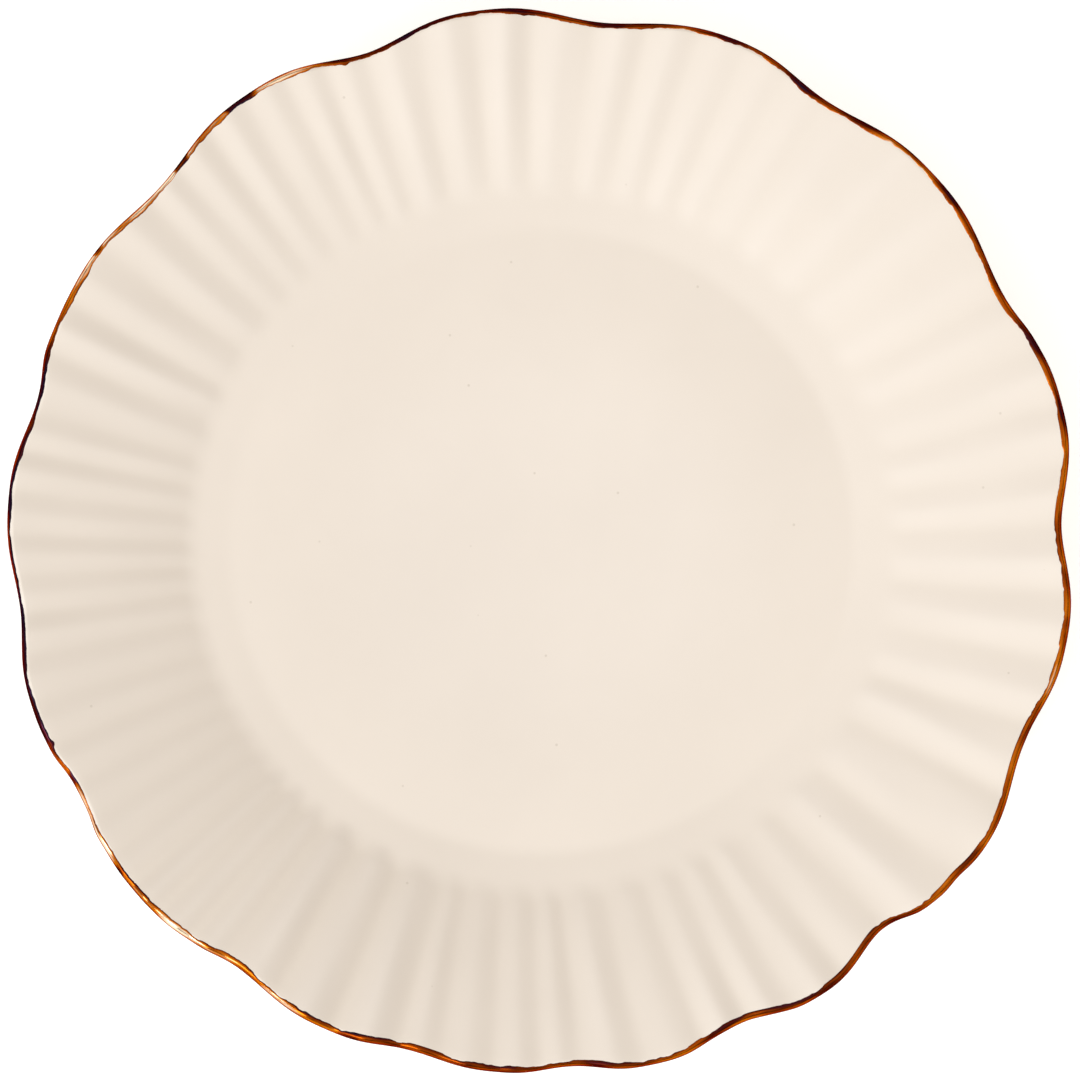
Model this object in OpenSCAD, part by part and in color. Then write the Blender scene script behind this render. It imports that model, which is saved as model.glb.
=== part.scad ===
// Scalloped dessert plate: a glazed clay dish with a round well, a fluted rim,
// a hand-cut scalloped edge and a gold line painted over the lip.
// Millimetres, +Z up. The origin is the middle of the foot, on the table.

/* [Dish] */
// Radius to the fullest crown of the scalloped edge
edge_r = 106; // [98:0.5:120]
// Radius of the floor of the well
well_r = 61.5; // [56:0.5:66]
// How far the floor sags from the edge of the well to its middle
well_sag = 1.5; // [0:0.1:2.5]
// Width of the gentle shoulder between the well and the rim
shoulder_w = 5.5; // [3:0.5:8]
// Slope of the shoulder, in degrees
shoulder_slope = 9.5; // [4:0.5:14]
// How much steeper the shoulder is on its steep side, and gentler on the other, in degrees
shoulder_lean = 4; // [0:0.5:4]
// Where that steep side is, in degrees counter-clockwise from +X
steep_side = -15; // [-180:5:180]
// Width of the bend from the shoulder up into the rim
bend_w = 4; // [2:0.5:8]
// Slope of the rim where it leaves the bend, in degrees
rim_slope = 20; // [12:1:32]
// Slope of the rim at the lip, in degrees
lip_slope = 13; // [4:1:24]
// Thickness of the clay under the edge of the well
floor_t = 5; // [4:0.1:8]
// Thickness of the clay at the lip
lip_t = 2.6; // [2.2:0.1:4.4]

/* [Scallops] */
// Depth of the deepest notch, from the fullest crown
notch_depth = 4.4; // [0:0.1:6]
// How narrow the notches are beside the broad scallops
notch_sharpness = 3.2; // [1:0.1:6]

/* [Flutes] */
// Height from groove to crest, at the lip, of a flute of average width
flute_h = 0.7; // [0:0.05:1.4]
// Its height where it starts, at the shoulder
flute_start_h = 0.2; // [0:0.05:1]
// Distance, from the shoulder outwards, over which the flutes start
flute_run = 3; // [1:0.5:20]

/* [Foot] */
// Distance from the edge of the well in to the foot ring
foot_inset = 11; // [4:0.5:20]
// Width of the foot ring where it meets the dish
foot_w = 6; // [5:0.1:9]
// Height of the foot ring
foot_h = 3.6; // [2:0.1:8]
// How far each wall of the foot ring draws in towards the table
foot_draft = 0.9; // [0:0.1:1.2]
// Width and height of the bevel on each standing edge
foot_bevel = 0.7; // [0.2:0.1:1]

/* [Coats] */
// Thickness of the glaze
glaze_t = 0.25; // [0.1:0.05:0.6]
// Bare clay between the foot ring and the glaze on each side of it
bare_w = 0.6; // [0.2:0.1:2]
// Thickness of the gold line
gold_t = 0.1; // [0.05:0.01:0.2]
// How far the gold climbs over the lip, in degrees above the outermost point
gold_over = 78; // [40:1:85]
// How far the gold goes under the lip, in degrees below the outermost point
gold_under = 40; // [10:1:60]

/* [Hidden] */

// Notches of the hand-cut edge, in degrees counter-clockwise from +X
notch_angles = [1.5, 28.5, 57, 83.5, 109.5, 137.5, 164.5, 187.5, 208, 234.5, 255.5, 273, 292.5, 311, 337.5];
// Depth of each notch, as a share of the deepest one
notch_depth_shares = [0.85, 0.7, 0.65, 0.75, 0.9, 0.8, 0.65, 0.55, 0.5, 0.65, 0.55, 0.55, 0.75, 1, 0.7];
// How far the crown after each notch falls short of the fullest, as a share of the deepest notch
crown_cut_shares = [0.05, 0.1, 0.05, 0.2, 0.15, 0.25, 0.15, 0.1, 0.05, 0.2, 0.25, 0.15, 0.25, 0, 0.2];
// Where that crown lies, as a share of the way from notch to notch
crown_lean_shares = [0.5, 0.52, 0.48, 0.5, 0.48, 0.52, 0.5, 0.52, 0.5, 0.55, 0.55, 0.45, 0.45, 0.48, 0.48];
// Flutes from each notch to the next
flute_counts = [4, 4, 5, 4, 6, 4, 5, 4, 6, 3, 4, 3, 3, 3, 3];
// Facets across one flute
flute_facets = 4;
// Rows of points across the rim, from its bend to its lip
rim_row_shares = [0, 0.5];
// Where the face and back glaze meet beneath the gold, in degrees above the outermost point
glaze_seam = 15;

clay_colour = "#e8d9c4";
glaze_colour = "#f1e6d8";
gold_colour = "#a85a14";

scallops = len(notch_angles);
average_flute_angle = 360/(flute_counts*[for (count = flute_counts) 1]);
shoulder_r = well_r + shoulder_w;
rim_r = shoulder_r + bend_w;
foot_r = well_r - foot_inset;
recess_r = foot_r - foot_w;
floor_z = foot_h + floor_t;
nose_r = lip_t/2;

function blend(from, to, share) = from + (to - from)*share;
function share_of(value, from, to) = min(max((value - from)/(to - from), 0), 1);
function backwards(list) = [for (i = [len(list) - 1:-1:0]) list[i]];
function total(list) = list*[for (item = list) 1];

// Notch k of the edge, where the one after the last is the first again
function notch_angle(k) = notch_angles[k % scallops] + 360*floor(k/scallops);
function notch_cut(k) = notch_depth*notch_depth_shares[k % scallops];
function crown_cut(k) = notch_depth*crown_cut_shares[k];

// A station is one radial cut through the plate, a share of the way along scallop k:
// its angle, the radius of its edge and the lift of its flute, in flute heights
function station(k, share) =
    let (angle = blend(notch_angle(k), notch_angle(k + 1), share))
    let (lean = crown_lean_shares[k])
    let (bow = share < lean ? share/lean/2 : 1 - (1 - share)/(1 - lean)/2)
    let (notch_share = pow(abs(cos(180*bow)), notch_sharpness))
    let (cut = blend(crown_cut(k), blend(notch_cut(k), notch_cut(k + 1), bow), notch_share))
    let (flute_angle = (notch_angle(k + 1) - notch_angle(k))/flute_counts[k])
    let (crest = flute_angle/average_flute_angle)
    let (lift = (crest*(1 - cos(360*flute_counts[k]*share)) - 1)/2)
    [angle, edge_r - cut, lift];
function station_angle(s) = s[0];
function station_edge_r(s) = s[1];
function station_lift(s) = s[2];

stations = [
    for (k = [0:scallops - 1])
        let (steps = flute_counts[k]*flute_facets)
        for (i = [0:steps - 1]) station(k, i/steps)
];

// Slopes of the eating side at station s, as [radius, slope], which change evenly from each to the next.
// The rim gives back the height that a steeper shoulder gains, so that the lip is level.
function slopes(s) =
    let (shoulder = tan(shoulder_slope + shoulder_lean*cos(station_angle(s) - steep_side)))
    let (gain = (shoulder - tan(shoulder_slope))*(shoulder_w + bend_w/2))
    let (given_back = gain/(edge_r - rim_r + bend_w/2))
    [
        [well_r, shoulder],
        [shoulder_r, shoulder],
        [rim_r, tan(rim_slope) - given_back],
        [edge_r, tan(lip_slope) - given_back]
    ];

// Height of the eating side above the edge of the well, summed over the stretches up to radius r
function rise(s, r) =
    let (stops = slopes(s))
    total([
        for (i = [0:len(stops) - 2])
            let (from = stops[i], to = stops[i + 1])
            let (share = share_of(r, from[0], to[0]))
            (to[0] - from[0])*share*(from[1] + blend(from[1], to[1], share))/2
    ]);

// Height of an average flute at radius r
function flute_height(r) =
    let (started = share_of(r, shoulder_r, shoulder_r + flute_run))
    blend(flute_start_h, flute_h, share_of(r, shoulder_r, edge_r))*started*started*(3 - 2*started);

// Clay surfaces at station s and radius r, from the edge of the well outwards
function face_z(s, r) = floor_z + rise(s, r) + station_lift(s)*flute_height(r);
function back_z(s, r) = face_z(s, r) - blend(floor_t, lip_t, share_of(r, well_r, edge_r));

// The lip is a round nose of clay, and each coat on it adds its own thickness
function nose_centre_r(s) = station_edge_r(s) - gold_t - glaze_t - nose_r;
function nose_centre_z(s) = face_z(s, nose_centre_r(s)) - nose_r/cos(lip_slope);
function lip_row(s, coat, angle) = [
    nose_centre_r(s) + (nose_r + coat)*cos(angle),
    nose_centre_z(s) + (nose_r + coat)*sin(angle)
];

// Radii of the rows from the edge of the well to the lip, on both sides of the clay
function rim_radii(s) = [for (share = rim_row_shares) blend(rim_r, nose_centre_r(s), share)];
function face_radii(s) = concat([well_r, shoulder_r], rim_radii(s));
function back_radii(s) = concat([well_r], rim_radii(s));

// Rows of [radius, height] over a coat, from the well out to the edges of the gold
function face_rows(s, coat) = concat(
    [for (r = face_radii(s)) [r, face_z(s, r) + coat]],
    [for (angle = [90 + lip_slope, gold_over]) lip_row(s, coat, angle)]
);
function back_rows(s, coat) = concat(
    [for (r = back_radii(s)) [r, back_z(s, r) - coat]],
    [for (angle = [lip_slope - 90, -gold_under]) lip_row(s, coat, angle)]
);
function gold_rows(s, coat) = [for (angle = [gold_over, glaze_seam, -gold_under]) lip_row(s, coat, angle)];

// A skin goes once round the plate, through the rows that each station has. They run out
// over the top and back in below. With no middles it is a ring, whose last row joins its
// first. Otherwise its first and last rows close on these two heights of its middle.
module skin(rows, middles = []) {
    width = len(rows[0]);
    is_ring = len(middles) == 0;
    rim_points = [
        for (i = [0:len(rows) - 1])
            let (angle = station_angle(stations[i]))
            for (row = rows[i]) [row[0]*cos(angle), row[0]*sin(angle), row[1]]
    ];
    middle_points = [for (height = middles) [0, 0, height]];
    top_middle = len(rim_points);
    function point(i, j) = (i % len(rows))*width + j % width;
    // Every facet is split from its smaller radius, so that two skins which touch are split alike
    function facets(i, j) =
        let (near = point(i, j), far = point(i + 1, j))
        let (next_near = point(i, j + 1), next_far = point(i + 1, j + 1))
        rows[0][j][0] < rows[0][(j + 1) % width][0]
            ? [[near, far, next_far], [near, next_far, next_near]]
            : [[near, far, next_near], [next_near, far, next_far]];
    function middle_facets(i) = [
        [top_middle, point(i + 1, 0), point(i, 0)],
        [top_middle + 1, point(i, width - 1), point(i + 1, width - 1)]
    ];
    faces = [
        for (i = [0:len(rows) - 1])
            each concat(
                [for (j = [0:is_ring ? width - 1 : width - 2]) each facets(i, j)],
                is_ring ? [] : middle_facets(i)
            )
    ];
    polyhedron(concat(rim_points, middle_points), faces);
}

// The fired clay dish
module plate_body() {
    color(clay_colour)
        skin([
            for (s = stations)
                concat(face_rows(s, 0), [lip_row(s, 0, glaze_seam)], backwards(back_rows(s, 0)))
        ], [floor_z - well_sag, foot_h]);
}

// The clay ring that the plate stands on
module foot_ring() {
    color(clay_colour)
        rotate_extrude()
            polygon([
                [recess_r, foot_h],
                [recess_r + foot_draft, foot_bevel],
                [recess_r + foot_draft + foot_bevel, 0],
                [foot_r - foot_draft - foot_bevel, 0],
                [foot_r - foot_draft, foot_bevel],
                [foot_r, foot_h]
            ]);
}

// The glaze on the eating side, over the lip to the seam
module face_glaze() {
    color(glaze_colour)
        skin([
            for (s = stations)
                let (seam = [lip_row(s, glaze_t, glaze_seam), lip_row(s, 0, glaze_seam)])
                concat(face_rows(s, glaze_t), seam, backwards(face_rows(s, 0)))
        ], [floor_z - well_sag + glaze_t, floor_z - well_sag]);
}

// The glaze on the underside, from the seam in to the bare clay round the foot ring
module back_glaze() {
    inner_r = foot_r + bare_w;
    color(glaze_colour)
        skin([
            for (s = stations)
                let (seam = [lip_row(s, 0, glaze_seam), lip_row(s, glaze_t, glaze_seam)])
                concat(
                    [[inner_r, foot_h]], back_rows(s, 0), seam,
                    backwards(back_rows(s, glaze_t)), [[inner_r, foot_h - glaze_t]]
                )
        ]);
}

// The glaze on the disc inside the foot ring
module recess_glaze() {
    color(glaze_colour)
        translate([0, 0, foot_h - glaze_t])
            cylinder(h = glaze_t, r = recess_r - bare_w);
}

// The gold painted over the lip
module gold_rim_line() {
    color(gold_colour)
        skin([
            for (s = stations)
                concat(gold_rows(s, glaze_t + gold_t), backwards(gold_rows(s, glaze_t)))
        ]);
}

plate_body();
foot_ring();
face_glaze();
back_glaze();
recess_glaze();
gold_rim_line();
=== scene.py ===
import bisect
import functools
import math

import bmesh
import bpy
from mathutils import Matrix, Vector, noise


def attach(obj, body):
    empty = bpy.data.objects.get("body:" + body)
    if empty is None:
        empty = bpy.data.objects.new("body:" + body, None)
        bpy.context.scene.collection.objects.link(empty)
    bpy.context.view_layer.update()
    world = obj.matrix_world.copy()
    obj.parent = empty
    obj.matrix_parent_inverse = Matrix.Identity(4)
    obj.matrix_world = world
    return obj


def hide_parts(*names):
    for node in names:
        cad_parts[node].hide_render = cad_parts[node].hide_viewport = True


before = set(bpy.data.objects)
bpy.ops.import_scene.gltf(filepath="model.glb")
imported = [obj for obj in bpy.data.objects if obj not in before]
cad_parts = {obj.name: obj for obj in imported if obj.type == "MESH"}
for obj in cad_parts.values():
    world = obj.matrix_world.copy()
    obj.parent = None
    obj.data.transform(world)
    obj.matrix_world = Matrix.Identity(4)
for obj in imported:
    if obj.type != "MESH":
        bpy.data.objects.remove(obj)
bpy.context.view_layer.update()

MM = 0.001
# Points closer than this are one point
SAME_POINT = 0.001*MM

# The dish, in millimetres and degrees, as in the part's source
EDGE_R = 106
WELL_R = 61.5
WELL_SAG = 1.5
SHOULDER_W = 5.5
SHOULDER_SLOPE = 9.5
SHOULDER_LEAN = 4
STEEP_SIDE = -15
BEND_W = 4
RIM_SLOPE = 20
LIP_SLOPE = 13
FLOOR_T = 5
LIP_T = 2.6
FOOT_INSET = 11
FOOT_W = 6
FOOT_H = 3.6
FOOT_DRAFT = 0.9
FOOT_BEVEL = 0.7
GLAZE_T = 0.25
BARE_W = 0.6
GOLD_T = 0.1
GOLD_UNDER = 40
SHOULDER_R = WELL_R + SHOULDER_W
RIM_R = SHOULDER_R + BEND_W
FOOT_R = WELL_R - FOOT_INSET
RECESS_R = FOOT_R - FOOT_W
FLOOR_Z = FOOT_H + FLOOR_T

# The floor of the well sags inside this radius
SAG_R = 50

# The crease at the edge of the well is rounded over this width
CREASE_W = 2.8

# The roll of the lip is an ellipse, taller than it is wide. The face meets it at this angle past its top
ROLL_H = LIP_T/2
ROLL_W = 0.9
ROLL_R = EDGE_R - GOLD_T - GLAZE_T - ROLL_W
LIP_RISE = math.tan(math.radians(LIP_SLOPE))
ROLL_START = math.degrees(math.atan(LIP_RISE*ROLL_W/ROLL_H))

# The two coats of glaze meet on the lip, in degrees above its outermost point
GLAZE_SEAM = 15

# How much darker the glaze is drawn, as painted shade: not at all in the middle of the well, out to this
# radius, evenly further out, and a little darker in the grooves of the flutes than on their crests
SHADE_START_R = 26
WELL_EDGE_SHADE = 0.5
FLUTE_GROOVE_DARKENING = 0.4

# The hand-cut edge: a notch and the crown after it, fifteen times round
NOTCH_ANGLES = [1.5, 28.5, 57, 83.5, 109.5, 137.5, 164.5, 187.5, 208, 234.5, 255.5, 273, 292.5, 311, 337.5]
NOTCH_SHARES = [0.85, 0.7, 0.65, 0.75, 0.9, 0.8, 0.65, 0.55, 0.5, 0.65, 0.55, 0.55, 0.75, 1, 0.7]
CROWN_SHARES = [0.05, 0.1, 0.05, 0.2, 0.15, 0.25, 0.15, 0.1, 0.05, 0.2, 0.25, 0.15, 0.25, 0, 0.2]
LEAN_SHARES = [0.5, 0.52, 0.48, 0.5, 0.48, 0.52, 0.5, 0.52, 0.5, 0.55, 0.55, 0.45, 0.45, 0.48, 0.48]
NOTCH_DEPTH = 4.4
NOTCH_SHARPNESS = 3.2
# Slips of the knife: angle and half width in degrees, and how far out the edge was left
KNIFE_SLIPS = [
    (159.5, 2.6, 0.65), (315.3, 1.9, 0.6), (321, 2, -0.65), (75.5, 4, -0.25), (204, 1.6, 0.25),
    (213.3, 1.6, 0.3), (230.5, 2, 0.25), (288.5, 2, -0.2), (297, 1.8, -0.2), (23.5, 2, 0.2),
]

# The pressed flutes: how many each scallop has, and their height.
# They start over a longer run than the solids' do
FLUTE_COUNTS = [4, 4, 5, 4, 6, 4, 5, 4, 6, 3, 4, 3, 3, 3, 3]
AVERAGE_FLUTE_ANGLE = 360/sum(FLUTE_COUNTS)
FLUTE_H = 0.7
FLUTE_START_H = 0.2
FLUTE_RUN = 5
# Share of the third wave that flattens the flanks of a flute
FLANK_SHARE = 0.03
# The mould was carved by hand: how far its flutes stray, in degrees, and how deep they are.
# Both tables have an entry every 15 degrees from +X
FLUTE_SHIFTS = [
    0.6, 0, -0.1, 0.5, -0.4, -0.2, 0.9, 0.5, 0.1, 1.3, 2.1, 0.8,
    0.8, -0.2, -0.7, -1.6, -1.7, -1.2, 1.3, 2.0, 0.1, 1.3, 2.9, 1.6,
]
FLUTE_STRENGTHS = [
    0.9, 0.92, 0.75, 0.78, 0.78, 1.08, 1.2, 1.05, 0.93, 1.05, 1.1, 0.78,
    0.85, 0.72, 0.8, 1.8, 2.1, 1.4, 1.15, 0.82, 0.97, 1.2, 1.1, 0.8,
]
# Their inner ends lean towards one side of the plate, by at most this many degrees
FLUTE_LEAN = 1.7
FLUTE_LEAN_SIDE = 215
# They are uneven in patches as wide as a flute, so many to a radian, and longer than they are wide
FLUTE_UNEVENNESS = 0.75
UNEVEN_COUNT = 9
UNEVEN_LENGTH = 25

# The gold is a film, thinnest at its borders, that sits a little way into the glaze
GOLD_BORDER_T = 0.01
GOLD_SEAT = 0.02
# Its width seen from above, and its load, every 15 degrees from +X. The load is partly how heavily the brush
# was loaded and partly painted highlight: the high loads round 135 and 225 degrees draw the highlights there
GOLD_WIDTHS = [
    1.5, 1.45, 1.4, 1.3, 1.15, 1.05, 1.2, 0.85, 1.15, 1.1, 1.1, 0.8,
    0.75, 0.85, 0.8, 1.35, 1.4, 1.45, 1.4, 1.45, 1.45, 1.5, 1.5, 1.5,
]
GOLD_LOADS_AND_HIGHLIGHTS = [
    0.5, 0.4, 0.35, 0.36, 0.3, 0.27, 0.27, 0.2, 0.75, 1.0, 0.9, 0.2,
    0.15, 0, 0.85, 0.9, 0.85, 0.35, 0.32, 0.36, 0.36, 0.44, 0.52, 0.55,
]
GOLD_LEAST_W = 0.2
GOLD_MOST_W = 1.55
# Sways of the brush: their length, and the share of the width that they change
BRUSH_SWAYS = [(10, 0.5), (4, 0.3), (1.3, 0.16), (0.5, 0.06)]
# Drips of the brush: angle, spread in degrees and extra width
GOLD_DRIPS = [
    (93, 1.2, 0.25), (112.5, 0.4, 0.55), (127.5, 0.5, 0.3), (167.4, 1.3, 0.4), (171, 1.6, 0.35),
    (192, 3, 0.2), (202.5, 0.4, 0.5), (288, 1.5, 0.2),
]
# Painted reflection: on the side at this angle, in degrees, the gold is drawn with this much more load at its
# inner border and less at its outer border, and the reverse on the far side
REFLECTION_SIDE = 60
PAINTED_REFLECTION = 0.2
# Where the gold ran outwards and left a copper border: angle, spread in degrees and extra load
GOLD_RUN = (179, 24, 0.3)
# Where the brush ran dry: angle, spread in degrees and missing load
DRY_STROKE = (201, 3.5, 0.45)
# Patches of more and less gold: their length, their place in the noise and their load
PATCH_LENGTH = 8
PATCH_PLACE = 50
PATCH_LOAD = 0.35
# Painted highlight: above this load the gold is drawn as a bright line, which loses load at its borders and
# in its gaps
PAINTED_HIGHLIGHT_LOAD = 0.4
BORDER_LOSS = 1.2
GAP_LENGTH = 7
GAP_RARITY = 0.18
GAP_SHARPNESS = 8
GAP_LOSS = 1.2
# Extra load of the gold that ran down under the lip
UNDER_LOAD = 0.35
# The strokes are drawn out along the edge
STROKE_STRETCH = 3

# Steps of a spin round the plate, and the steps that each is then split into
SPIN_STEPS = 2*sum(FLUTE_COUNTS)
FACE_SPLITS = 8
CLAY_SPLITS = 4
GOLD_SPLITS = 24


def blend(start, end, share):
    return start + (end - start)*share


def share_of(value, start, end):
    """How far a value is from start to end, from 0 to 1."""
    return min(max((value - start)/(end - start), 0), 1)


def eased(share):
    return share*share*(3 - 2*share)


def spread(start, end, count):
    """Values from start to end, both included."""
    return [blend(start, end, i/(count - 1)) for i in range(count)]


def along(table, angle):
    """A value from a table whose entries go once round the plate."""
    place = angle*len(table)/360 % len(table)
    k = int(place)
    return blend(table[k], table[(k + 1) % len(table)], eased(place - k))


def bump(angle, middle, half_width, height):
    """A smooth bump on the edge, whose middle and half width are in degrees."""
    return height*math.exp(-(((angle - middle + 180) % 360 - 180)/half_width)**2)


@functools.lru_cache(maxsize=None)
def slopes(angle):
    """Radii and slopes of the eating side at an angle. The rim gives back what the shoulder gains."""
    even = math.tan(math.radians(SHOULDER_SLOPE))
    lean = SHOULDER_LEAN*math.cos(math.radians(angle - STEEP_SIDE))
    shoulder = math.tan(math.radians(SHOULDER_SLOPE + lean))
    given_back = (shoulder - even)*(SHOULDER_W + BEND_W/2)/(EDGE_R - RIM_R + BEND_W/2)
    return [
        (WELL_R - CREASE_W/2, 0),
        (WELL_R + CREASE_W/2, shoulder),
        (SHOULDER_R, shoulder),
        (RIM_R, math.tan(math.radians(RIM_SLOPE)) - given_back),
        (EDGE_R, LIP_RISE - given_back),
    ]


def rise(r, angle=STEEP_SIDE + 90):
    """Height of the eating side over the edge of the well. A quarter turn from its steep side is average."""
    height = 0
    stops = slopes(angle)
    for (start, slope), (end, next_slope) in zip(stops, stops[1:]):
        share = share_of(r, start, end)
        height += (end - start)*share*(slope + blend(slope, next_slope, share))/2
    return height


def sag(r):
    return WELL_SAG*max(1 - (r/SAG_R)**2, 0)**2


@functools.lru_cache(maxsize=None)
def scallop_at(angle):
    """Number of the scallop at an angle in degrees, its width, and the share of the way along it."""
    turned = (angle - NOTCH_ANGLES[0]) % 360 + NOTCH_ANGLES[0]
    k = bisect.bisect_right(NOTCH_ANGLES, turned) - 1
    width = (NOTCH_ANGLES[(k + 1) % len(NOTCH_ANGLES)] - NOTCH_ANGLES[k]) % 360
    return k, width, (turned - NOTCH_ANGLES[k])/width


@functools.lru_cache(maxsize=None)
def edge_cut(angle):
    """How far the edge is cut in."""
    k, _, share = scallop_at(angle)
    lean = LEAN_SHARES[k]
    bow = share/lean/2 if share < lean else 1 - (1 - share)/(1 - lean)/2
    notch_share = abs(math.cos(math.pi*bow))**NOTCH_SHARPNESS
    notch = blend(NOTCH_SHARES[k], NOTCH_SHARES[(k + 1) % len(NOTCH_SHARES)], bow)
    cut = NOTCH_DEPTH*blend(CROWN_SHARES[k], notch, notch_share)
    return cut - sum(bump(angle, *slip) for slip in KNIFE_SLIPS)


def flute_lift(r, angle):
    """Lift of the flute there, in flute heights."""
    a = math.radians(angle)
    lean = FLUTE_LEAN*math.sin(math.radians(FLUTE_LEAN_SIDE) - a)*share_of(r, EDGE_R, SHOULDER_R)
    k, width, share = scallop_at(round(angle - lean - along(FLUTE_SHIFTS, angle), 3))
    turn = math.tau*FLUTE_COUNTS[k]*share
    wave = (math.cos(turn) + FLANK_SHARE*math.cos(3*turn))/(1 + FLANK_SHARE)
    crest = width/FLUTE_COUNTS[k]/AVERAGE_FLUTE_ANGLE
    patch = noise.noise((UNEVEN_COUNT*math.cos(a), UNEVEN_COUNT*math.sin(a), r/UNEVEN_LENGTH))
    return (crest*(1 - wave) - 1)/2*(1 + FLUTE_UNEVENNESS*patch)*along(FLUTE_STRENGTHS, angle)


def flute_start(r):
    return eased(share_of(r, SHOULDER_R, SHOULDER_R + FLUTE_RUN))


def flute_height(r):
    return blend(FLUTE_START_H, FLUTE_H, share_of(r, SHOULDER_R, EDGE_R))*flute_start(r)


def press(bm):
    """Presses the flutes into a round dish and cuts its edge, and keeps how much darker the glaze is drawn
    there: painted shade out towards the edge of the well, and more in the grooves of the flutes.
    """
    groove = bm.verts.layers.float.new("groove")
    for v in bm.verts:
        r = v.co.xy.length/MM
        # Painted shade: the glaze is drawn darker from the middle of the well out towards its edge and beyond
        v[groove] = WELL_EDGE_SHADE*eased(share_of(r, SHADE_START_R, SAG_R))
        if r <= WELL_R - CREASE_W/2:
            continue
        angle = round(math.degrees(math.atan2(v.co.y, v.co.x)), 3)
        cut = edge_cut(angle)
        new_r = r - cut*share_of(r, RIM_R, ROLL_R)
        lift = flute_lift(new_r, angle)
        raised = rise(min(new_r, ROLL_R - cut), angle) - rise(min(r, ROLL_R))
        v.co.xy *= new_r/r
        v.co.z += (raised + lift*flute_height(new_r))*MM
        # The glaze is drawn a little darker in the grooves of the flutes
        v[groove] -= FLUTE_GROOVE_DARKENING*flute_start(new_r)*lift


def roll_point(coat, angle):
    """A point of the rolled lip, before the edge is cut."""
    centre_z = FLOOR_Z + rise(ROLL_R) - math.hypot(ROLL_H, LIP_RISE*ROLL_W)
    a = math.radians(angle)
    return ROLL_R + (ROLL_W + coat)*math.cos(a), centre_z + (ROLL_H + coat)*math.sin(a)


def face_point(coat, r):
    return r, FLOOR_Z + rise(r) - sag(r) + coat


def back_point(coat, r):
    return r, FLOOR_Z + rise(r) - blend(FLOOR_T, LIP_T, share_of(r, WELL_R, EDGE_R)) - coat


def is_hoop(edge):
    """True for an edge that runs round the plate."""
    near, far = (v.co for v in edge.verts)
    return abs(near.xy.length - far.xy.length) < SAME_POINT and abs(near.z - far.z) < SAME_POINT


def spun(profile, splits):
    """A closed skin of revolution about Z through (radius, height) points in millimetres."""
    bm = bmesh.new()
    verts = [bm.verts.new((r*MM, 0, z*MM)) for r, z in profile]
    edges = [bm.edges.new(pair) for pair in zip(verts, verts[1:])]
    if profile[0][0] > 0:
        edges.append(bm.edges.new((verts[-1], verts[0])))
    bmesh.ops.spin(
        bm, geom=verts + edges, cent=(0, 0, 0), axis=(0, 0, 1), dvec=(0, 0, 0),
        angle=math.tau, steps=SPIN_STEPS, use_merge=True, use_duplicate=False,
    )
    bmesh.ops.remove_doubles(bm, verts=bm.verts, dist=SAME_POINT)
    bmesh.ops.recalc_face_normals(bm, faces=bm.faces)
    hoops = [e for e in bm.edges if is_hoop(e)]
    bmesh.ops.subdivide_edges(bm, edges=hoops, cuts=splits - 1, use_grid_fill=True)
    # The new points lie on chords, and move out to the circle
    step = math.tau/SPIN_STEPS
    for v in bm.verts:
        off_middle = math.atan2(v.co.y, v.co.x) % step - step/2
        v.co.xy *= math.cos(off_middle)/math.cos(step/2)
    return bm


def piece(name, bm, material, slot, *nodes):
    """A finished smooth piece that stands for CAD nodes and rides with the plate."""
    mesh = bpy.data.meshes.new(name)
    bm.to_mesh(mesh)
    bm.free()
    mesh.shade_smooth()
    mesh.materials.append(material)
    obj = bpy.data.objects.new(name, mesh)
    bpy.context.scene.collection.objects.link(obj)
    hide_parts(*nodes)
    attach(obj, "root")


def linear(colour):
    """An sRGB hex colour as linear RGBA."""
    parts = [int(colour[i:i + 2], 16)/255 for i in (1, 3, 5)]
    return [p/12.92 if p <= 0.04045 else ((p + 0.055)/1.055)**2.4 for p in parts] + [1]


def add(tree, kind, settings=None, stops=(), **links):
    """A node with its settings, its colour stops and its inputs, which are values or other nodes' sockets.

    An input goes by its name, or by i and its number where several share a name.
    """
    made = tree.nodes.new(kind)
    for key, value in (settings or {}).items():
        setattr(made, key, value)
    # A new colour ramp has two stops
    for _ in stops[2:]:
        made.color_ramp.elements.new(1)
    for i, (place, colour) in enumerate(stops):
        made.color_ramp.elements[i].position = place
        made.color_ramp.elements[i].color = linear(colour)
    for key, value in links.items():
        socket = made.inputs[int(key[1:])] if key[1:].isdigit() else made.inputs[key.replace("_", " ")]
        if isinstance(value, bpy.types.NodeSocket):
            tree.links.new(value, socket)
        else:
            socket.default_value = value
    return made


def new_material(name):
    material = bpy.data.materials.new(name)
    material.use_nodes = True
    tree = material.node_tree
    return material, tree, tree.nodes["Principled BSDF"]


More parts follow.
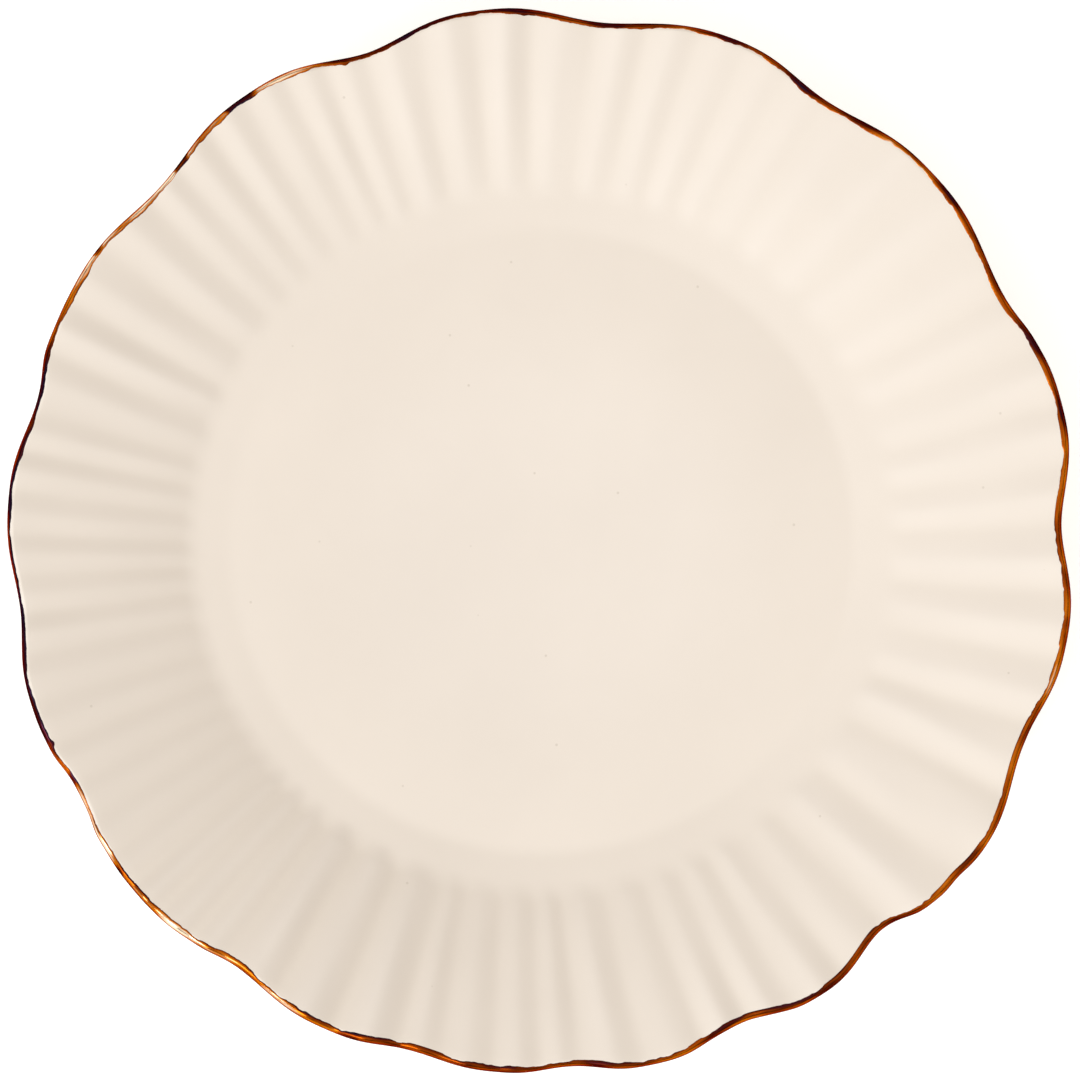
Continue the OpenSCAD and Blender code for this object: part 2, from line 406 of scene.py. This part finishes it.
def cream_glaze():
    """Cream glaze, dipped and fired: a soft sheen, faint clouding, rare pale pinholes, painted shade towards
    the edge of the well, and a little darkening in the grooves of the flutes.
    """
    material, tree, shader = new_material("cream_glaze_on_stoneware")
    place = add(tree, "ShaderNodeTexCoord").outputs["Object"]
    cloud_mm, peel_mm, hole_mm, hole_gap_mm = 34, 5, 0.36, 9
    clouds = add(tree, "ShaderNodeTexNoise", Vector=place, Scale=1/(cloud_mm*MM), Detail=3, Roughness=0.6)
    tint = add(
        tree, "ShaderNodeValToRGB", stops=[(0.3, "#e4d9cc"), (0.7, "#e7dccf")], Fac=clouds.outputs["Fac"],
    )
    # Painted shade: the cream is multiplied darker out towards the edge of the well, and a little in the
    # grooves of the flutes
    groove = add(tree, "ShaderNodeAttribute", {"attribute_name": "groove"})
    darkened = add(
        tree, "ShaderNodeMix", {"data_type": "RGBA", "blend_type": "MULTIPLY"},
        i0=groove.outputs["Fac"], i6=tint.outputs["Color"], i7=linear("#fbfaf8"),
    )
    cells = add(
        tree, "ShaderNodeTexVoronoi", {"feature": "F1"}, Vector=place, Scale=1/(hole_gap_mm*MM), Randomness=1,
    )
    hole = add(
        tree, "ShaderNodeMapRange", {"interpolation_type": "SMOOTHSTEP"}, Value=cells.outputs["Distance"],
        From_Min=hole_mm/hole_gap_mm/2, From_Max=hole_mm/hole_gap_mm, To_Min=1, To_Max=0,
    )
    speckled = add(
        tree, "ShaderNodeMix", {"data_type": "RGBA"},
        i0=hole.outputs["Result"], i6=darkened.outputs[2], i7=linear("#d6cabb"),
    )
    tree.links.new(speckled.outputs[2], shader.inputs["Base Color"])
    peel = add(tree, "ShaderNodeTexNoise", Vector=place, Scale=1/(peel_mm*MM), Detail=1)
    relief = add(tree, "ShaderNodeBump", Strength=0.05, Distance=0.2*MM, Height=peel.outputs["Fac"])
    tree.links.new(relief.outputs["Normal"], shader.inputs["Normal"])
    shader.inputs["Roughness"].default_value = 0.42
    shader.inputs["Specular IOR Level"].default_value = 0.3
    shader.inputs["IOR"].default_value = 1.5
    return material


def gold_lustre():
    """Gold lustre, brushed on by hand and fired: mirror bright where thick, copper brown where thin, with
    painted highlights and a painted reflection drawn into its colour through its load.
    """
    material, tree, shader = new_material("fired_gold_lustre")
    brush = add(tree, "ShaderNodeAttribute", {"attribute_name": "brush"}).outputs["Vector"]
    stroke_mm, streak_mm = 3, 0.5
    strokes = add(tree, "ShaderNodeTexNoise", Vector=brush, Scale=1/stroke_mm, Detail=2, Roughness=0.55)
    load_and_highlight = add(tree, "ShaderNodeAttribute", {"attribute_name": "load_and_highlight"}).outputs["Fac"]
    uneven = add(
        tree, "ShaderNodeMapRange", Value=strokes.outputs["Fac"],
        From_Min=0.25, From_Max=0.75, To_Min=-0.22, To_Max=0.26,
    )
    laid = add(tree, "ShaderNodeMath", {"operation": "ADD"}, i0=load_and_highlight, i1=uneven.outputs["Result"])
    # Colour by load, from thin purple-black lustre through copper; the pale top of the ramp draws the painted
    # highlights
    tint = add(
        tree, "ShaderNodeValToRGB", Fac=laid.outputs["Value"],
        stops=[(0.0, "#24162a"), (0.25, "#4d1406"), (0.5, "#9a4206"), (0.75, "#c86e12"), (1.0, "#fbe2c0")],
    )
    tree.links.new(tint.outputs["Color"], shader.inputs["Base Color"])
    streaks = add(tree, "ShaderNodeTexNoise", Vector=brush, Scale=1/streak_mm, Detail=2)
    rough = add(
        tree, "ShaderNodeMapRange", Value=streaks.outputs["Fac"],
        From_Min=0.3, From_Max=0.7, To_Min=0.2, To_Max=0.36,
    )
    tree.links.new(rough.outputs["Result"], shader.inputs["Roughness"])
    relief = add(tree, "ShaderNodeBump", Strength=0.12, Distance=0.05*MM, Height=streaks.outputs["Fac"])
    tree.links.new(relief.outputs["Normal"], shader.inputs["Normal"])
    shader.inputs["Metallic"].default_value = 1
    shader.inputs["Specular Tint"].default_value = linear("#8a4a20")
    return material


def bare_clay():
    """Bare stoneware, turned and fired: matt, with dark and pale grains drawn coarse enough to show."""
    material, tree, shader = new_material("bare_fired_stoneware")
    place = add(tree, "ShaderNodeTexCoord").outputs["Object"]
    grit_mm, stain_mm = 0.35, 12
    stain = add(tree, "ShaderNodeTexNoise", Vector=place, Scale=1/(stain_mm*MM), Detail=4)
    tint = add(
        tree, "ShaderNodeValToRGB", stops=[(0.3, "#cdb597"), (0.7, "#dccab0")], Fac=stain.outputs["Fac"],
    )
    grit = add(tree, "ShaderNodeTexVoronoi", {"feature": "F1"}, Vector=place, Scale=1/(grit_mm*MM))
    grains = add(
        tree, "ShaderNodeValToRGB", Fac=grit.outputs["Color"],
        stops=[(0.06, "#7d6850"), (0.12, "#ffffff"), (0.9, "#ffffff"), (0.97, "#fff6e6")],
    )
    mixed = add(
        tree, "ShaderNodeMix", {"data_type": "RGBA", "blend_type": "MULTIPLY"},
        i0=0.8, i6=tint.outputs["Color"], i7=grains.outputs["Color"],
    )
    tree.links.new(mixed.outputs[2], shader.inputs["Base Color"])
    relief = add(tree, "ShaderNodeBump", Strength=0.5, Distance=0.06*MM, Height=grit.outputs["Distance"])
    tree.links.new(relief.outputs["Normal"], shader.inputs["Normal"])
    shader.inputs["Roughness"].default_value = 0.85
    return material


glaze = cream_glaze()
gold = gold_lustre()
clay = bare_clay()

# Radii of the rings across the dish, closest together where it bends
FACE_RADII = (
    spread(0, SAG_R, 12) + [54, 58, 60]
    + spread(WELL_R - CREASE_W/2, WELL_R + CREASE_W/2, 6) + [63.5, 65, 66.2]
    + spread(SHOULDER_R, RIM_R + 1, 11) + spread(RIM_R + 2.5, ROLL_R, 18)
)
BACK_RADII = spread(WELL_R, RIM_R + 4, 16) + spread(RIM_R + 6, ROLL_R, 12)
COARSE_WELL_RADII = [0, 20, 40, 52]
COARSE_RIM_RADII = [WELL_R, SHOULDER_R, SHOULDER_R + BEND_W/2, RIM_R, 79, 87, 95, ROLL_R]
COARSE_RADII = COARSE_WELL_RADII + COARSE_RIM_RADII
FLAT_BACK_R = 55
RECESS_RADII = [30, 15, 0]
# Angles of the rings on the lip
OVER_LIP = spread(90 + ROLL_START, GLAZE_SEAM, 14)
UNDER_LIP = spread(GLAZE_SEAM, ROLL_START - 90, 14)


def face_rows(coat, radii):
    """From the middle of the well out over the lip, which takes the place of the last radius."""
    return [face_point(coat, r) for r in radii[:-1]] + [roll_point(coat, angle) for angle in OVER_LIP]


def back_rows(coat, radii):
    """From the lip in under the rim."""
    under_rim = [back_point(coat, r) for r in reversed(radii[:-1])]
    return [roll_point(coat, angle) for angle in UNDER_LIP] + under_rim


def glaze_bead(r, side, angles):
    """The round bead that a coat ends in beside the bare clay. Side is 1 where the coat lies outside it."""
    turns = [math.radians(angle) for angle in angles]
    return [(r + side*GLAZE_T*(1 - math.cos(a)), FOOT_H - GLAZE_T*math.sin(a)) for a in turns]


def make_clay_dish():
    profile = face_rows(0, COARSE_RADII) + back_rows(0, COARSE_RIM_RADII)[1:] + [(0, FOOT_H)]
    bm = spun(profile, CLAY_SPLITS)
    press(bm)
    piece("clay_dish", bm, clay, "fired_clay", "plate_body")


def make_foot_ring():
    profile = [
        (RECESS_R, FOOT_H),
        (RECESS_R + FOOT_DRAFT, 0),
        (FOOT_R - FOOT_DRAFT, 0),
        (FOOT_R, FOOT_H),
    ]
    bm = spun(profile, CLAY_SPLITS)
    standing = [e for e in bm.edges if is_hoop(e) and e.verts[0].co.z < FOOT_H*MM/2]
    bmesh.ops.bevel(
        bm, geom=standing, offset=FOOT_BEVEL*MM, offset_type="OFFSET", affect="EDGES",
        segments=5, profile=0.5, material=-1,
    )
    piece("turned_foot", bm, clay, "fired_clay", "foot_ring")


def make_face_glaze():
    profile = face_rows(GLAZE_T, FACE_RADII) + face_rows(0, COARSE_RADII)[::-1]
    bm = spun(profile, FACE_SPLITS)
    press(bm)
    piece("face_coat", bm, glaze, "cream_glaze", "face_glaze")


def make_back_glaze():
    bead = glaze_bead(FOOT_R + BARE_W, 1, spread(90, 0, 5))
    outside = back_rows(GLAZE_T, BACK_RADII) + [(FLAT_BACK_R, FOOT_H - GLAZE_T)]
    bm = spun(outside + bead + back_rows(0, BACK_RADII)[::-1], FACE_SPLITS)
    press(bm)
    piece("back_coat", bm, glaze, "cream_glaze", "back_glaze")


def make_recess_glaze():
    bead = glaze_bead(RECESS_R - BARE_W, -1, spread(0, 90, 5))
    profile = [(0, FOOT_H)] + bead + [(r, FOOT_H - GLAZE_T) for r in RECESS_RADII]
    piece("recess_coat", spun(profile, CLAY_SPLITS), glaze, "cream_glaze", "recess_glaze")


def gold_over(angle):
    """How far over the lip the brush went, in degrees above the outermost point."""
    a = math.radians(angle)
    spot = Vector((EDGE_R*math.cos(a), EDGE_R*math.sin(a), 0))
    width = along(GOLD_WIDTHS, angle)
    width *= 1 + sum(sway*noise.noise(spot/length) for length, sway in BRUSH_SWAYS)
    width += sum(bump(angle, *drip) for drip in GOLD_DRIPS)
    width = min(max(width, GOLD_LEAST_W), GOLD_MOST_W)
    return math.degrees(math.acos(1 - width/(ROLL_W + GLAZE_T + GOLD_T)))


def gold_load_and_highlight(x, y, over, top):
    """Load of gold at a point of the lip, from 0, thin and dark, to 1, thick and bright, with painted
    highlights and a painted reflection added to it.
    """
    around = math.atan2(y, x)
    angle = math.degrees(around)
    # The listed loads hold painted highlights as well as the brush's load
    listed_load_and_highlight = along(GOLD_LOADS_AND_HIGHLIGHTS, angle) - bump(angle, *DRY_STROKE)
    # From -1 at the outermost point to 1 at the inner border, as seen from above
    across = 2*share_of(math.cos(math.radians(max(over, 0))), 1, math.cos(math.radians(top))) - 1
    # Painted reflection: brighter inside and darker outside towards one side of the plate, less the gold that
    # ran outwards
    reflection_and_run = PAINTED_REFLECTION*math.cos(around - math.radians(REFLECTION_SIDE)) - bump(angle, *GOLD_RUN)
    patch = PATCH_LOAD*noise.noise(Vector((x, y, PATCH_PLACE))/PATCH_LENGTH)
    # Painted highlight: a bright line down the middle of the gold where the load is high
    painted_highlight = max(listed_load_and_highlight - PAINTED_HIGHLIGHT_LOAD, 0)
    gap = GAP_SHARPNESS*min(noise.noise(Vector((x, y, 0))/GAP_LENGTH) + GAP_RARITY, 0)
    lost = BORDER_LOSS*across**2 - max(gap, -GAP_LOSS)
    run_down = UNDER_LOAD*share_of(-over, 0, GOLD_UNDER)
    return listed_load_and_highlight + patch + reflection_and_run*across - painted_highlight*lost + run_down


def make_gold_line():
    reach = 90
    rows, seat_rows, feather_rows = 14, 4, 4
    angles = spread(reach, -GOLD_UNDER, rows) + spread(-GOLD_UNDER, reach, seat_rows)
    film = [GOLD_T*share_of(row + 1, 0, feather_rows) for row in range(1, rows - 1)]
    coats = [GLAZE_T + t for t in [GOLD_BORDER_T] + film + [GOLD_BORDER_T]] + seat_rows*[GLAZE_T - GOLD_SEAT]
    # Laid on a round lip first, so that each point tells its coat and its angle
    turns = [math.radians(angle) for angle in angles]
    profile = [
        (ROLL_R + (ROLL_H + coat)*math.cos(a), (ROLL_H + coat)*math.sin(a)) for coat, a in zip(coats, turns)
    ]
    bm = spun(profile, GOLD_SPLITS)
    brush = bm.verts.layers.float_vector.new("brush")
    load_and_highlight = bm.verts.layers.float.new("load_and_highlight")
    for v in bm.verts:
        around = math.atan2(v.co.y, v.co.x)
        out = math.hypot(v.co.x, v.co.y)/MM - ROLL_R
        up = v.co.z/MM
        share = (math.degrees(math.atan2(up, out)) + GOLD_UNDER)/(reach + GOLD_UNDER)
        top = gold_over(math.degrees(around))
        over = blend(-GOLD_UNDER, top, share)
        r, z = roll_point(math.hypot(out, up) - ROLL_H, over)
        x, y = r*math.cos(around), r*math.sin(around)
        v.co = (x*MM, y*MM, z*MM)
        v[brush] = (x/STROKE_STRETCH, y/STROKE_STRETCH, STROKE_STRETCH*ROLL_H*math.radians(over))
        v[load_and_highlight] = gold_load_and_highlight(x, y, over, top)
    press(bm)
    piece("gold_line", bm, gold, "gold_lustre", "gold_rim_line")


make_clay_dish()
make_foot_ring()
make_face_glaze()
make_back_glaze()
make_recess_glaze()
make_gold_line()

# A plain white floor, faintly mottled. Both sizes are in metres
FLOOR_REACH = 8
MOTTLE_L = 1/3
floor_mesh = bpy.data.meshes.new("floor")
bm = bmesh.new()
bmesh.ops.create_grid(bm, x_segments=1, y_segments=1, size=FLOOR_REACH)
bm.to_mesh(floor_mesh)
bm.free()
floor = bpy.data.objects.new("floor", floor_mesh)
bpy.context.scene.collection.objects.link(floor)
paper, tree, shader = new_material("white_paper_floor")
place = add(tree, "ShaderNodeTexCoord").outputs["Object"]
mottle = add(tree, "ShaderNodeTexNoise", Vector=place, Scale=1/MOTTLE_L)
tint = add(tree, "ShaderNodeValToRGB", stops=[(0.3, "#f7f7f6"), (0.7, "#f9f9f8")], Fac=mottle.outputs["Fac"])
tree.links.new(tint.outputs["Color"], shader.inputs["Base Color"])
shader.inputs["Roughness"].default_value = 0.9
shader.inputs["Emission Color"].default_value = linear("#ffffff")
shader.inputs["Emission Strength"].default_value = 0.3
floor_mesh.materials.append(paper)

# Soft studio light: a bright ceiling, dim walls, a pale horizon and a large window at the lower left
world = bpy.data.worlds.new("studio")
bpy.context.scene.world = world
world.use_nodes = True
tree = world.node_tree
sky = add(tree, "ShaderNodeSeparateXYZ", Vector=add(tree, "ShaderNodeTexCoord").outputs["Generated"])
walls = add(
    tree, "ShaderNodeValToRGB", Fac=sky.outputs["Z"],
    stops=[(0.0, "#e6e6e6"), (0.06, "#dcdcdc"), (0.12, "#5a5a5a"), (0.4, "#605f5e"), (0.55, "#fffcf9")],
)
tree.links.new(walls.outputs["Color"], tree.nodes["Background"].inputs["Color"])
tree.nodes["Background"].inputs["Strength"].default_value = 1.12


def add_window(name, azimuth, elevation, distance, width, height, power, colour):
    """A broad soft light that faces the plate."""
    data = bpy.data.lights.new(name, "AREA")
    data.shape = "RECTANGLE"
    data.size = width
    data.size_y = height
    data.energy = power
    data.color = linear(colour)[:3]
    obj = bpy.data.objects.new(name, data)
    bpy.context.scene.collection.objects.link(obj)
    a, e = math.radians(azimuth), math.radians(elevation)
    back = Vector((math.cos(a)*math.cos(e), math.sin(a)*math.cos(e), math.sin(e)))
    obj.location = back*distance
    obj.rotation_mode = "QUATERNION"
    obj.rotation_quaternion = back.to_track_quat("Z", "Y")
    obj.visible_camera = False


add_window(
    "window", azimuth=226, elevation=27, distance=3.6, width=2.5, height=1.1, power=81, colour="#edf5ff",
)

# The camera looks straight down
CAMERA_DISTANCE = 6
AIM = Vector((-0.41, 0.18, 20))*MM
FRAME_W = 212.45*MM
camera_data = bpy.data.cameras.new("camera")
camera = bpy.data.objects.new("camera", camera_data)
bpy.context.scene.collection.objects.link(camera)
camera.location = AIM + Vector((0, 0, CAMERA_DISTANCE))
camera_data.lens = camera_data.sensor_width*CAMERA_DISTANCE/FRAME_W
camera_data.clip_end = 100
bpy.context.scene.camera = camera
bpy.context.scene.view_settings.view_transform = "Standard"
